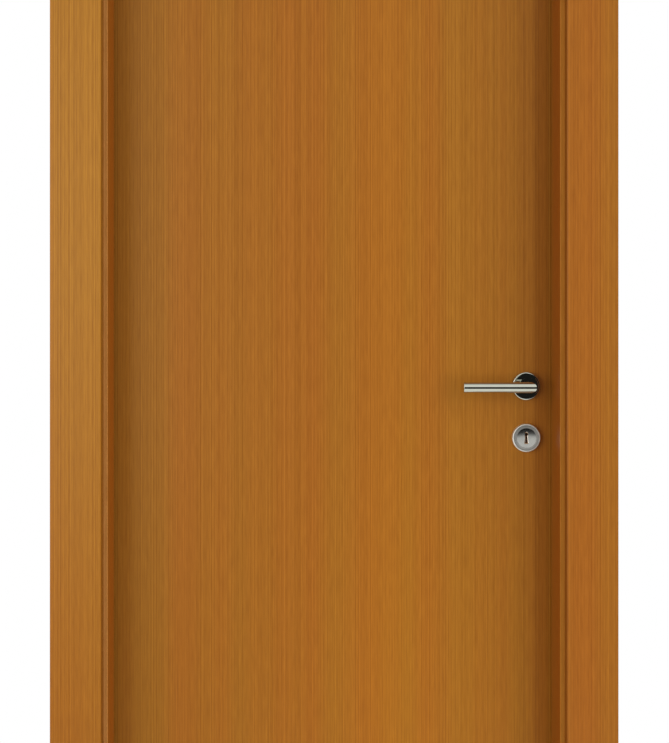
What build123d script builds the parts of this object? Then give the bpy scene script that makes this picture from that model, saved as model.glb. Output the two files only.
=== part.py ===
from build123d import *
from math import radians, tan
import os

# A flush door hung in its frame. Sizes are in millimetres and +Z is up. The front faces -Y, the
# hinges are on the -X side and the leaf opens to the back. The origin lies on the wall face of the
# hinge jamb, at floor level, half way through the wall.

# Leaf
leaf_width = 800
leaf_height = 2100
leaf_thickness = 40
skin_thickness = 4
skin_arris = 1
hinge_stile_width = 45
lock_stile_width = 110
rail_width = 60

# Running gaps round the leaf
hinge_gap = 5
lock_gap = 6.5
head_gap = 5
floor_gap = 8
stop_gap = 5

# Jambs
wall_thickness = 120
jamb_thickness = 40
rebate_step = 17
jamb_arris = 1.5

# Casings
casing_width = 88
casing_thickness = 18
casing_arris = 2.5
front_setback = 8
back_setback = 10

# Door seal in the stop
seal_inset = 6
seal_kerf_width = 3
seal_kerf_depth = 7
seal_stem_clearance = 0.2
seal_width = 7
seal_leaf_clearance = 0.4
seal_foot = 3

# Butt hinges
hinge_length = 100
hinge_plate_width = 30
hinge_plate_thickness = 2.5
hinge_axis_offset = 7
knuckle_radius = 6
knuckle_count = 5
knuckle_clearance = 0.3
pin_radius = 3
pin_clearance = 0.08
pin_tip_radius = 4.5
pin_tip_height = 2.5
pin_tip_bevel = 1
top_hinge_drop = 200
bottom_hinge_rise = 250
hinge_screw_end = 12
hinge_screw_pitch = 24
hinge_screw_edge = 9.5

# Countersunk holes for the plates' screws
screw_hole_radius = 2
screw_sink_radius = 4
screw_sink_angle = 90

# Lock
handle_height = 1050
lock_centres = 92
backset = 55
lock_case_depth = 82
lock_case_thickness = 16
lock_case_margin = 42
lock_case_corner = 3
mortise_clearance = 0.5
spindle_bore_radius = 8
inlay_clearance = 0.2
faceplate_length = 235
faceplate_width = 22
faceplate_thickness = 3
bolt_length = 37
bolt_clearance = 0.3
latch_height = 20
latch_thickness = 12
latch_rise = 16
latch_bevel = 8
dead_bolt_height = 26
dead_bolt_thickness = 10
dead_bolt_rise = 8
strike_length = 200
strike_thickness = 2.5
strike_room = 2
strike_pocket_depth = 14

# Roses
rose_radius = 25
rose_height = 9
rose_rim = 1.6
rose_lip = 1.8
rose_cove = 2.6
rose_hollow = 0.55
key_ring = 7.5
key_ring_fall = 0.4
key_hollow = 1.1
ring_groove = 0.7
bearing_clearance = 0.1

# Keyhole
keyhole_head_radius = 3
keyhole_head_rise = 6.3
keyhole_drop = 9.3
keyhole_waist = 1.7
keyhole_foot = 2.9
keyhole_bevel = 0.5
keyhole_bevel_angle = 60
key_room = 1

# Lever handle
lever_radius = 9.5
lever_projection = 45
lever_reach = 117
lever_end_arris = 0.8
neck_foot = 1
spindle_width = 8
spindle_grip = 24
leaf_bore_radius = 11

# Places through the wall
front_y = -wall_thickness / 2
back_y = wall_thickness / 2
leaf_front_y = back_y - leaf_thickness
leaf_mid_y = back_y - leaf_thickness / 2
stop_y = leaf_front_y - stop_gap
core_thickness = leaf_thickness - 2 * skin_thickness

# Places across the opening
rebate_x = jamb_thickness - rebate_step
leaf_hinge_x = rebate_x + hinge_gap
leaf_lock_x = leaf_hinge_x + leaf_width
lock_rebate_x = leaf_lock_x + lock_gap
frame_width = lock_rebate_x + rebate_x
frame_middle = Plane.YZ.offset(frame_width / 2)
core_hinge_x = leaf_hinge_x + hinge_stile_width
core_lock_x = leaf_lock_x - lock_stile_width
core_width = core_lock_x - core_hinge_x

# Heights
leaf_top_z = floor_gap + leaf_height
leaf_mid_z = floor_gap + leaf_height / 2
rebate_z = leaf_top_z + head_gap
clear_z = rebate_z - rebate_step
frame_height = clear_z + jamb_thickness

# Planes of the mitres, and of the head's sections with their first axis pointing down
hinge_mitre = Plane(origin=(0, 0, frame_height), z_dir=(1, 0, 1))
strike_mitre = Plane(origin=(frame_width, 0, frame_height), z_dir=(-1, 0, 1))
head_plane = Plane(origin=(0, 0, frame_height), x_dir=(0, 0, -1), z_dir=(1, 0, 0))

# Hinge places
hinge_x = rebate_x + hinge_gap / 2
hinge_y = back_y + hinge_axis_offset
knuckle_pitch = hinge_length / knuckle_count
lower_hinge_z = floor_gap + bottom_hinge_rise
upper_hinge_z = leaf_top_z - top_hinge_drop
hinge_heights = {
    "upper": upper_hinge_z,
    "middle": (upper_hinge_z + lower_hinge_z) / 2,
    "lower": lower_hinge_z,
}
outer_screw_rise = hinge_length / 2 - hinge_screw_end
inner_screw_rise = outer_screw_rise - hinge_screw_pitch
outer_screw_y = -hinge_screw_edge
inner_screw_y = hinge_screw_edge - hinge_plate_width
hinge_screws = [
    (outer_screw_y, outer_screw_rise),
    (inner_screw_y, inner_screw_rise),
    (inner_screw_y, -inner_screw_rise),
    (outer_screw_y, -outer_screw_rise),
]

# Lock places
spindle_x = leaf_lock_x - backset
key_z = handle_height - lock_centres
lock_middle_z = (handle_height + key_z) / 2
lock_case_height = lock_centres + 2 * lock_case_margin
lock_case_x = leaf_lock_x - faceplate_thickness
latch_z = handle_height + latch_rise
dead_bolt_z = key_z + dead_bolt_rise

os.makedirs("parts", exist_ok=True)


def write_piece(piece, name):
    """Label a finished piece and write it under its own name."""
    piece.label = name
    export_step(piece, f"parts/{name}.step")


# Openings and screws that the strike jamb, the lock and the strike plate share
def bolt_openings(plane, room):
    """The latch's and the bolt's sections, wider all round by the room."""
    with BuildSketch(plane) as openings:
        with Locations((leaf_mid_y, latch_z)):
            Rectangle(latch_thickness + 2 * room, latch_height + 2 * room)
        with Locations((leaf_mid_y, dead_bolt_z)):
            Rectangle(dead_bolt_thickness + 2 * room, dead_bolt_height + 2 * room)
    return openings.sketch


def end_screws(plate_length):
    """Screws at the middles of a plate's round ends, from the plate's own middle."""
    rise = (plate_length - faceplate_width) / 2
    return [(0, rise), (0, -rise)]


# Jambs: one rebated section with a kerf for the seal, mitred where the head meets the sides
def jamb_section(plane):
    """Section from the wall face at 0 towards the opening, through the wall from front to back."""
    with BuildSketch(plane) as section:
        with BuildLine():
            Polyline(
                (0, front_y),
                (jamb_thickness, front_y),
                (jamb_thickness, stop_y),
                (rebate_x, stop_y),
                (rebate_x, back_y),
                (0, back_y),
                close=True,
            )
        make_face()
        rebate, opening_face = section.vertices().group_by(Axis.X)[1:]
        fillet(opening_face + rebate.sort_by(Axis.Y)[-1:], radius=jamb_arris)
        with Locations((jamb_thickness - seal_inset, stop_y)):
            Rectangle(
                seal_kerf_width,
                seal_kerf_depth,
                align=(Align.CENTER, Align.MAX),
                mode=Mode.SUBTRACT,
            )
    return section.sketch


with BuildPart() as side_jamb:
    extrude(jamb_section(Plane.XY), amount=frame_height)
    split(bisect_by=hinge_mitre, keep=Keep.BOTTOM)

with BuildPart() as hinge_jamb:
    add(side_jamb.part)
    for height in hinge_heights.values():
        with Locations((rebate_x, back_y, height)):
            Box(
                hinge_plate_thickness,
                hinge_plate_width,
                hinge_length,
                align=(Align.MAX, Align.MAX, Align.CENTER),
                mode=Mode.SUBTRACT,
            )
write_piece(hinge_jamb.part, "hinge_jamb")

with BuildPart() as strike_jamb:
    mirror(side_jamb.part, about=frame_middle)
    with BuildSketch(Plane.YZ.offset(lock_rebate_x)):
        with Locations((leaf_mid_y, lock_middle_z)):
            SlotOverall(
                strike_length + 2 * inlay_clearance,
                faceplate_width + 2 * inlay_clearance,
                rotation=90,
            )
    extrude(amount=strike_thickness, mode=Mode.SUBTRACT)
    extrude(
        bolt_openings(Plane.YZ.offset(lock_rebate_x), strike_room),
        amount=strike_pocket_depth,
        mode=Mode.SUBTRACT,
    )
write_piece(strike_jamb.part, "strike_jamb")

with BuildPart() as head_jamb:
    extrude(jamb_section(head_plane), amount=frame_width)
    split(bisect_by=hinge_mitre, keep=Keep.TOP)
    split(bisect_by=strike_mitre, keep=Keep.TOP)
write_piece(head_jamb.part, "head_jamb")


# Casings: flat boards with eased show edges, mitred at the top corners
def casing_section(plane, side):
    """Section from the opening edge at 0 away from the opening, standing out from the wall."""
    with BuildSketch(plane) as section:
        with Locations((0, side * wall_thickness / 2)):
            Rectangle(
                casing_width,
                casing_thickness,
                align=(Align.MAX, Align.MIN if side > 0 else Align.MAX),
            )
        by_depth = section.vertices().sort_by(Axis.Y, reverse=side > 0)
        fillet(by_depth[:2], radius=casing_arris)
    return section.sketch


def casing_set(edge_x, edge_z, side):
    """The hinge side, strike side and head casings round an opening edge, on one wall face."""
    near_mitre = Plane(origin=(edge_x, 0, edge_z), z_dir=(1, 0, 1))
    far_mitre = Plane(origin=(frame_width - edge_x, 0, edge_z), z_dir=(-1, 0, 1))
    head_start = Plane(origin=(edge_x - casing_width, 0, edge_z), x_dir=(0, 0, -1), z_dir=(1, 0, 0))
    with BuildPart() as leg:
        extrude(casing_section(Plane((edge_x, 0, 0)), side), amount=edge_z + casing_width)
        split(bisect_by=near_mitre, keep=Keep.BOTTOM)
    with BuildPart() as far_leg:
        mirror(leg.part, about=frame_middle)
    with BuildPart() as head:
        extrude(casing_section(head_start, side), amount=frame_width - 2 * (edge_x - casing_width))
        split(bisect_by=near_mitre, keep=Keep.TOP)
        split(bisect_by=far_mitre, keep=Keep.TOP)
    return {"hinge_side": leg.part, "strike_side": far_leg.part, "head": head.part}


front_casings = casing_set(jamb_thickness - front_setback, clear_z + front_setback, side=-1)
back_casings = casing_set(rebate_x - back_setback, rebate_z + back_setback, side=1)
for place, casing in front_casings.items():
    write_piece(casing, f"front_casing_{place}")
for place, casing in back_casings.items():
    write_piece(casing, f"back_casing_{place}")


# Door seal: a soft bulb on a stem that is pressed into the stop's kerf
def seal_section(plane):
    """Bulb and stem, placed as the jamb's kerf is."""
    with BuildSketch(plane) as section:
        with Locations((jamb_thickness - seal_inset, stop_y)):
            Rectangle(
                seal_kerf_width - 2 * seal_stem_clearance,
                seal_kerf_depth - seal_stem_clearance,
                align=(Align.CENTER, Align.MAX),
            )
        with BuildLine():
            base = Line(
                (jamb_thickness - seal_inset - seal_width / 2, stop_y),
                (jamb_thickness - seal_inset + seal_width / 2, stop_y),
            )
            crown = (jamb_thickness - seal_inset, leaf_front_y - seal_leaf_clearance)
            ThreePointArc(base @ 1, crown, base @ 0)
        make_face()
    return section.sketch


with BuildPart() as hinge_side_seal:
    extrude(seal_section(Plane.XY.offset(seal_foot)), amount=frame_height)
    split(bisect_by=hinge_mitre, keep=Keep.BOTTOM)
write_piece(hinge_side_seal.part, "hinge_side_seal")

with BuildPart() as strike_side_seal:
    mirror(hinge_side_seal.part, about=frame_middle)
write_piece(strike_side_seal.part, "strike_side_seal")

with BuildPart() as head_seal:
    extrude(seal_section(head_plane), amount=frame_width)
    split(bisect_by=hinge_mitre, keep=Keep.TOP)
    split(bisect_by=strike_mitre, keep=Keep.TOP)
write_piece(head_seal.part, "head_seal")


# Keyhole: a round head over a flared slot
def keyhole_outline(plane, room):
    """Keyhole face on a plane with its second axis up, wider all round by the room."""
    head_foot = keyhole_head_rise - keyhole_head_radius / 2
    with BuildSketch(plane) as outline:
        with BuildLine():
            foot = Line((-keyhole_foot, -keyhole_drop), (keyhole_foot, -keyhole_drop))
            right = ThreePointArc(foot @ 1, (keyhole_waist, 0), (keyhole_waist, head_foot))
            left = ThreePointArc(foot @ 0, (-keyhole_waist, 0), (-keyhole_waist, head_foot))
            Line(right @ 1, left @ 1)
        make_face()
        with Locations((0, keyhole_head_rise)):
            Circle(keyhole_head_radius)
        if room > 0:
            offset(amount=room)
    return outline.sketch


key_plane = Plane(origin=(spindle_x, leaf_mid_y, key_z), x_dir=(1, 0, 0), z_dir=(0, -1, 0))
key_channel = keyhole_outline(key_plane, key_room)
spindle_plane = Plane(origin=(spindle_x, leaf_mid_y, handle_height), z_dir=(0, -1, 0))


# Leaf: two skins over a frame of stiles and rails and a core
def leaf_recess(height):
    """Where a hinge plate is let into the leaf's hinge edge."""
    with BuildPart() as recess:
        with Locations((leaf_hinge_x, back_y, height)):
            Box(
                hinge_plate_thickness,
                hinge_plate_width,
                hinge_length,
                align=(Align.MIN, Align.MAX, Align.CENTER),
            )
    return recess.part


leaf_recesses = [leaf_recess(height) for height in hinge_heights.values()]


def leaf_skin(mid_y, side):
    """A face of the leaf with its show edges eased, bored for the spindle and the key."""
    with BuildPart() as skin:
        with Locations((leaf_hinge_x, mid_y, leaf_mid_z)):
            Box(leaf_width, skin_thickness, leaf_height, align=(Align.MIN, Align.CENTER, Align.CENTER))
        show_face = skin.faces().sort_by(Axis.Y, reverse=side > 0)[0]
        fillet(show_face.edges(), radius=skin_arris)
        with BuildSketch(spindle_plane):
            Circle(leaf_bore_radius)
        extrude(amount=leaf_thickness, both=True, mode=Mode.SUBTRACT)
        extrude(key_channel, amount=leaf_thickness, both=True, mode=Mode.SUBTRACT)
        add(leaf_recesses, mode=Mode.SUBTRACT)
    return skin.part


write_piece(leaf_skin(leaf_front_y + skin_thickness / 2, side=-1), "leaf_front_skin")
write_piece(leaf_skin(back_y - skin_thickness / 2, side=1), "leaf_back_skin")

with BuildPart() as hinge_stile:
    with Locations((leaf_hinge_x, leaf_mid_y, leaf_mid_z)):
        Box(
            hinge_stile_width,
            core_thickness,
            leaf_height,
            align=(Align.MIN, Align.CENTER, Align.CENTER),
        )
    add(leaf_recesses, mode=Mode.SUBTRACT)
write_piece(hinge_stile.part, "leaf_hinge_stile")

with BuildPart() as lock_stile:
    with Locations((leaf_lock_x, leaf_mid_y, leaf_mid_z)):
        Box(
            lock_stile_width,
            core_thickness,
            leaf_height,
            align=(Align.MAX, Align.CENTER, Align.CENTER),
        )
    with BuildSketch(Plane.YZ.offset(leaf_lock_x)):
        with Locations((leaf_mid_y, lock_middle_z)):
            SlotOverall(
                faceplate_length + 2 * inlay_clearance,
                faceplate_width + 2 * inlay_clearance,
                rotation=90,
            )
    extrude(amount=-faceplate_thickness, mode=Mode.SUBTRACT)
    with Locations((lock_case_x, leaf_mid_y, lock_middle_z)):
        Box(
            lock_case_depth + mortise_clearance,
            lock_case_thickness + 2 * mortise_clearance,
            lock_case_height + 2 * mortise_clearance,
            align=(Align.MAX, Align.CENTER, Align.CENTER),
            mode=Mode.SUBTRACT,
        )
    with BuildSketch(spindle_plane):
        Circle(leaf_bore_radius)
    extrude(amount=leaf_thickness, both=True, mode=Mode.SUBTRACT)
    extrude(key_channel, amount=leaf_thickness, both=True, mode=Mode.SUBTRACT)
write_piece(lock_stile.part, "leaf_lock_stile")

rail_mid_z = {
    "top": leaf_top_z - rail_width / 2,
    "bottom": floor_gap + rail_width / 2,
}
for place, height in rail_mid_z.items():
    with BuildPart() as rail:
        with Locations((core_hinge_x, leaf_mid_y, height)):
            Box(core_width, core_thickness, rail_width, align=(Align.MIN, Align.CENTER, Align.CENTER))
    write_piece(rail.part, f"leaf_{place}_rail")

with BuildPart() as core:
    with Locations((core_hinge_x, leaf_mid_y, leaf_mid_z)):
        Box(
            core_width,
            core_thickness,
            leaf_height - 2 * rail_width,
            align=(Align.MIN, Align.CENTER, Align.CENTER),
        )
write_piece(core.part, "leaf_core")


# Lock: a case behind a faceplate, with the latch and the bolt drawn back flush with it
with BuildPart() as lock_case:
    with Locations((lock_case_x, leaf_mid_y, lock_middle_z)):
        Box(
            lock_case_depth,
            lock_case_thickness,
            lock_case_height,
            align=(Align.MAX, Align.CENTER, Align.CENTER),
        )
    fillet(lock_case.edges().filter_by(Axis.Y).group_by(Axis.X)[0], radius=lock_case_corner)
    extrude(
        bolt_openings(Plane.YZ.offset(lock_case_x), bolt_clearance),
        amount=-bolt_length,
        mode=Mode.SUBTRACT,
    )
    with BuildSketch(spindle_plane):
        Circle(spindle_bore_radius)
    extrude(amount=leaf_thickness, both=True, mode=Mode.SUBTRACT)
    extrude(key_channel, amount=leaf_thickness, both=True, mode=Mode.SUBTRACT)
write_piece(lock_case.part, "lock_case")

with BuildPart() as lock_faceplate:
    with BuildSketch(Plane.YZ.offset(lock_case_x)):
        with Locations((leaf_mid_y, lock_middle_z)):
            SlotOverall(faceplate_length, faceplate_width, rotation=90)
    extrude(amount=faceplate_thickness)
    extrude(
        bolt_openings(Plane.YZ.offset(lock_case_x), bolt_clearance),
        amount=faceplate_thickness,
        mode=Mode.SUBTRACT,
    )
    show_face = Plane(origin=(leaf_lock_x, leaf_mid_y, lock_middle_z), x_dir=(0, 1, 0), z_dir=(1, 0, 0))
    with Locations(show_face):
        with Locations(*end_screws(faceplate_length)):
            CounterSinkHole(screw_hole_radius, screw_sink_radius, counter_sink_angle=screw_sink_angle)
write_piece(lock_faceplate.part, "lock_faceplate")

with BuildPart() as latch_bolt:
    with Locations((leaf_lock_x, leaf_mid_y, latch_z)):
        Box(bolt_length, latch_thickness, latch_height, align=(Align.MAX, Align.CENTER, Align.CENTER))
    nose = latch_bolt.edges().filter_by(Axis.Z).group_by(Axis.X)[-1].sort_by(Axis.Y)[0]
    chamfer(nose, length=latch_bevel)
write_piece(latch_bolt.part, "latch_bolt")

with BuildPart() as dead_bolt:
    with Locations((leaf_lock_x, leaf_mid_y, dead_bolt_z)):
        Box(
            bolt_length,
            dead_bolt_thickness,
            dead_bolt_height,
            align=(Align.MAX, Align.CENTER, Align.CENTER),
        )
write_piece(dead_bolt.part, "dead_bolt")

with BuildPart() as strike_plate:
    with BuildSketch(Plane.YZ.offset(lock_rebate_x)):
        with Locations((leaf_mid_y, lock_middle_z)):
            SlotOverall(strike_length, faceplate_width, rotation=90)
    extrude(amount=strike_thickness)
    extrude(
        bolt_openings(Plane.YZ.offset(lock_rebate_x), strike_room),
        amount=strike_thickness,
        mode=Mode.SUBTRACT,
    )
    show_face = Plane(origin=(lock_rebate_x, leaf_mid_y, lock_middle_z), x_dir=(0, 1, 0), z_dir=(-1, 0, 0))
    with Locations(show_face):
        with Locations(*end_screws(strike_length)):
            CounterSinkHole(screw_hole_radius, screw_sink_radius, counter_sink_angle=screw_sink_angle)
write_piece(strike_plate.part, "strike_plate")


# Hinges: plates let into the jamb and the leaf, with knuckles that take turns along one pin
def hinge_half(plate_x, height, side, knuckles):
    """A plate with its knuckles, away from the gap to the jamb (side -1) or the leaf (side 1)."""
    across = Align.MIN if side > 0 else Align.MAX
    with BuildPart() as half:
        with Locations((plate_x, back_y, height)):
            Box(
                hinge_plate_thickness,
                hinge_plate_width,
                hinge_length,
                align=(across, Align.MAX, Align.CENTER),
            )
        for knuckle in knuckles:
            foot_z = height - hinge_length / 2 + knuckle * knuckle_pitch + knuckle_clearance / 2
            with BuildSketch(Plane.XY.offset(foot_z)):
                with Locations((plate_x, back_y)):
                    Rectangle(hinge_plate_thickness, hinge_axis_offset, align=(across, Align.MIN))
                with Locations((hinge_x, hinge_y)):
                    Circle(knuckle_radius)
                    Circle(pin_radius + pin_clearance, mode=Mode.SUBTRACT)
            extrude(amount=knuckle_pitch - knuckle_clearance)
        show_face = Plane(origin=(plate_x, back_y, height), x_dir=(0, 1, 0), z_dir=(-side, 0, 0))
        with Locations(show_face):
            with Locations(*hinge_screws):
                CounterSinkHole(screw_hole_radius, screw_sink_radius, counter_sink_angle=screw_sink_angle)
    return half.part


def hinge_pin(height):
    """A pin through all the knuckles, with a bevelled tip at each end."""
    with BuildPart() as pin:
        with Locations((hinge_x, hinge_y, height)):
            Cylinder(pin_tip_radius, hinge_length + 2 * pin_tip_height)
        chamfer(pin.edges().filter_by(GeomType.CIRCLE), length=pin_tip_bevel)
        with BuildSketch(Plane.XY.offset(height)):
            with Locations((hinge_x, hinge_y)):
                Circle(pin_tip_radius)
                Circle(pin_radius, mode=Mode.SUBTRACT)
        extrude(amount=hinge_length / 2, both=True, mode=Mode.SUBTRACT)
    return pin.part


for place, height in hinge_heights.items():
    frame_knuckles = range(0, knuckle_count, 2)
    leaf_knuckles = range(1, knuckle_count, 2)
    write_piece(hinge_half(rebate_x, height, -1, frame_knuckles), f"frame_hinge_{place}")
    write_piece(hinge_half(leaf_hinge_x, height, 1, leaf_knuckles), f"leaf_hinge_{place}")
    write_piece(hinge_pin(height), f"hinge_pin_{place}")


# Door furniture: a lever on a round rose over a dished key rose, the same on both faces
def turned_disc(profile_plane, floor_radius, floor_height, dish_radius, dish_height):
    """Round disc with a rounded rim, hollowed to a flat floor that curves up to the dish's edge."""
    with BuildPart() as disc:
        with BuildSketch(profile_plane) as profile:
            with BuildLine():
                floor = Line((0, floor_height), (floor_radius, floor_height))
                dish = TangentArc(floor @ 1, (dish_radius, dish_height), tangent=(1, 0))
                Polyline(dish @ 1, (rose_radius, rose_height), (rose_radius, 0), (0, 0), floor @ 0)
            make_face()
            rim = profile.vertices().group_by(Axis.X)[-1].sort_by(Axis.Y)[-1]
            fillet(rim, radius=rose_rim)
        revolve(axis=Axis(profile_plane.origin, (0, 1, 0)))
    return disc.part


def handle_rose(face_y, side):
    """Rose with a flat floor inside a raised rim, bored for the lever's neck."""
    centre = (spindle_x, face_y, handle_height)
    profile_plane = Plane(origin=centre, x_dir=(1, 0, 0), z_dir=(0, 0, side))
    lip_radius = rose_radius - rose_lip
    with BuildPart() as rose:
        add(
            turned_disc(
                profile_plane, lip_radius - rose_cove, rose_height - rose_hollow, lip_radius, rose_height
            )
        )
        with BuildSketch(Plane(origin=centre, z_dir=(0, side, 0))):
            Circle(lever_radius + bearing_clearance)
        extrude(amount=rose_height, mode=Mode.SUBTRACT)
    return rose.part


def key_rose(face_y, side):
    """Rose with a grooved ring that falls to a dished middle, and a keyhole with a bevelled edge."""
    centre = (spindle_x, face_y, key_z)
    profile_plane = Plane(origin=centre, x_dir=(1, 0, 0), z_dir=(0, 0, side))
    keyhole_plane = Plane(origin=centre, x_dir=(-side, 0, 0), z_dir=(0, side, 0))
    dish_height = rose_height - key_ring_fall
    groove_radius = rose_radius - key_ring / 2
    bevel_depth = key_hollow + keyhole_bevel
    bevel_spread = bevel_depth * tan(radians(keyhole_bevel_angle))
    with BuildPart() as rose:
        add(
            turned_disc(
                profile_plane, keyhole_waist, dish_height - key_hollow, rose_radius - key_ring, dish_height
            )
        )
        with BuildSketch(profile_plane):
            with BuildLine():
                Polyline(
                    (groove_radius - ring_groove, rose_height),
                    (groove_radius + ring_groove, rose_height),
                    (groove_radius, rose_height - ring_groove),
                    close=True,
                )
            make_face()
        revolve(axis=Axis(centre, (0, 1, 0)), mode=Mode.SUBTRACT)
        extrude(keyhole_outline(keyhole_plane, 0), amount=rose_height, mode=Mode.SUBTRACT)
        extrude(
            keyhole_outline(keyhole_plane.offset(dish_height), bevel_spread),
            amount=-bevel_depth,
            taper=keyhole_bevel_angle,
            mode=Mode.SUBTRACT,
        )
    return rose.part


def lever(face_y, side):
    """Round bar mitred at a right angle, with a square socket for the spindle in its neck."""
    neck_start = Vector(spindle_x, face_y + side * neck_foot, handle_height)
    elbow = Vector(spindle_x, face_y + side * lever_projection, handle_height)
    neck_plane = Plane(origin=neck_start, x_dir=(1, 0, 0), z_dir=(0, side, 0))
    with BuildPart() as bar:
        with BuildLine():
            Polyline(neck_start, elbow, elbow - Vector(lever_reach, 0, 0))
        with BuildSketch(neck_plane):
            Circle(lever_radius)
        sweep(transition=Transition.RIGHT)
        fillet(bar.faces().sort_by(Axis.X)[0].edges(), radius=lever_end_arris)
        with BuildSketch(neck_plane):
            Rectangle(spindle_width, spindle_width)
        extrude(amount=spindle_grip, mode=Mode.SUBTRACT)
    return bar.part


for place, face_y, side in (("front", leaf_front_y, -1), ("back", back_y, 1)):
    write_piece(handle_rose(face_y, side), f"{place}_handle_rose")
    write_piece(key_rose(face_y, side), f"{place}_key_rose")
    write_piece(lever(face_y, side), f"{place}_lever")

with BuildPart() as spindle:
    with Locations((spindle_x, leaf_mid_y, handle_height)):
        Box(spindle_width, leaf_thickness + 2 * (neck_foot + spindle_grip), spindle_width)
write_piece(spindle.part, "spindle")
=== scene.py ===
"""A flush door in its frame: the finish of every piece, its screws, and a studio to see it in."""

import math

import bpy
from bpy.props import FloatProperty, FloatVectorProperty, IntProperty, PointerProperty
from bpy.types import Operator, Panel, PropertyGroup
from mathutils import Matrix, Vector


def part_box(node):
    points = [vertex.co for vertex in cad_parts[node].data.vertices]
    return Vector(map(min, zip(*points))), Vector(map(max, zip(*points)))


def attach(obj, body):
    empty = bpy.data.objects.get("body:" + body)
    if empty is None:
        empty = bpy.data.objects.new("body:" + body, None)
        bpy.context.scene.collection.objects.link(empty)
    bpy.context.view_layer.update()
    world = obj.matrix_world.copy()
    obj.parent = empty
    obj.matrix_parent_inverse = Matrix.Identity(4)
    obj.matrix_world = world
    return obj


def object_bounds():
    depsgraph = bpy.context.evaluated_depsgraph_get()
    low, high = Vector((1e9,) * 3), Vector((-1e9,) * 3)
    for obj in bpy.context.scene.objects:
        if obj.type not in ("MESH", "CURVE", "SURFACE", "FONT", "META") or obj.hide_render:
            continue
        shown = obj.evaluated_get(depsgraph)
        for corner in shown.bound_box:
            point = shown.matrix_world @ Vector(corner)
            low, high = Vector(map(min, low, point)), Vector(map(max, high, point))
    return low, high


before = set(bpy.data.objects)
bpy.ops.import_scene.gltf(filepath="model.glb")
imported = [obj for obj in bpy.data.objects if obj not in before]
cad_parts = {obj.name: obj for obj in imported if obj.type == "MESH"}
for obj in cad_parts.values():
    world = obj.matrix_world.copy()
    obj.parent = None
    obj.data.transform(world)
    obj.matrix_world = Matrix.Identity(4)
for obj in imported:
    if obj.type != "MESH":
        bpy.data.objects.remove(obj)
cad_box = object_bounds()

bl_info = {
    "name": "Flush Door",
    "version": (1, 0, 0),
    "blender": (4, 5, 0),
    "location": "View3D > Sidebar > Flush Door",
    "description": "Finishes a flush door in its frame, sets its screws and lights it",
    "category": "Object",
}

PHOTO_WIDTH = 669
PHOTO_HEIGHT = 743
HINGES = ("upper", "middle", "lower")
FACES = ("front", "back")
FRAME_SIDES = ("hinge_side", "strike_side", "head")

# Where a noise counts as low and as high
NOISE_LOW = 0.3
NOISE_HIGH = 0.7

# Turns that lay the grain along a piece, and the way a sheet runs on from a face to an edge
GRAIN_UP = (0, 0, 0)
GRAIN_ACROSS = (0, -math.pi / 2, 0)
SHEET_WAY = (1, 1.3, 0)

# Figure, pores and lacquer of the veneer
FIBRE_WEIGHT = 2.1
FLECK_WEIGHT = 0.9
STREAK_WEIGHT = 0.35
BAND_LOW = 0.38
BAND_HIGH = 0.62
PORE_DEEP = 0.3
PORE_END = 0.42
PORE_SHARE = 0.1
PORE_TINT = (0.5, 0.4, 0.3)
PORE_DEPTH = 0.5
GLOSS_SPREAD = 0.06
LACQUER_SHINE = 0.3
JAMB_SHINE = 0.12

# Start and end of the leaf's accents, from its hinge edge, its lock edge or its foot. Painted light
# towards the hinge edge and in the middle, painted sheen fading towards the foot, painted shade
# beside each jamb
HINGE_SIDE_LIGHT_SPANS = ((0.155, 0.0),)
MIDDLE_LIGHT_SPANS = ((0.4, 0.5), (0.6, 0.52))
LOCK_SIDE_SPANS = ((-0.095, -0.075), (-0.025, -0.045))
FOOT_SPANS = ((1.0, 0.45),)
FOOT_MIDDLE_SPANS = ((0.27, 0.42),)
HINGE_SHADE_SPANS = ((0.045, 0.012),)
STRIKE_SHADE_SPANS = ((-0.045, -0.012),)

# Parts of the sheet that the casings are cut from, by side of the frame and face of the wall
CASING_COLUMNS = (20, 23, 26)
CASING_ROWS = (30, 35)

# Accents of the jambs and casings: painted light and sheen on the lips, painted shadow on a lip
# beside its casing, painted shade on the casings' inner edges, painted sheen on the hinge side
# front casing
LIP_DEPTH = 0.0018
CASING_SHADOW_WIDTH = 0.0036
EDGE_DEPTH = 0.0005
# Heights between which the painted sheen on the hinge side front casing fades
SHEEN_FROM = 0.15
SHEEN_TO = 1.25

# Size of the mottle or the marks in each finish
SEAL_MOTTLE = (0.004, 0.004, 0.02)
STEEL_MOTTLE = (0.012, 0.012, 0.018)
CHROME_MARKS = (0.02, 0.012, 0.012)
HAIRLINES = (0.02, 0.0003, 0.0003)
SATIN_MOTTLE = (0.01, 0.01, 0.01)
FLOOR_MOTTLE = (0.3, 0.3, 0.3)

# Share of its tint in the other tone of each finish, and where that tone sets in
SEAL_PALER = 1.35
SEAL_PALE_FROM = 0.75
STEEL_DULLER = 0.82
CHROME_DULLER = 0.94
CHROME_DULL_FROM = 0.35
SATIN_DULLER = 0.9
FLOOR_DULLER = 0.97

# Least and greatest roughness of each finish
SEAL_ROUGHNESS = (0.62, 0.78)
HINGE_ROUGHNESS = (0.26, 0.4)
LOCK_ROUGHNESS = (0.3, 0.45)
SCREW_ROUGHNESS = (0.22, 0.34)
CHROME_ROUGHNESS = (0.035, 0.08)
SATIN_ROUGHNESS = (0.13, 0.21)
RING_ROUGHER = 0.25
FLOOR_ROUGHNESS = 0.8
BRUSH_CRISPNESS = 0.6

# Strength and depth of each relief
VENEER_RELIEF = (0.12, 0.0003)
SEAL_RELIEF = (0.2, 0.0004)
STEEL_RELIEF = (0.15, 0.0001)
HAIRLINE_RELIEF = (0.02, 0.0001)
RING_HEIGHT = 0.000006

# Widths over which one finish of a key rose gives way to the next
RIM_EDGE = 0.0004
DISH_EDGE = 0.001
KEYHOLE_SHADE_EDGE = 0.0001

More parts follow.
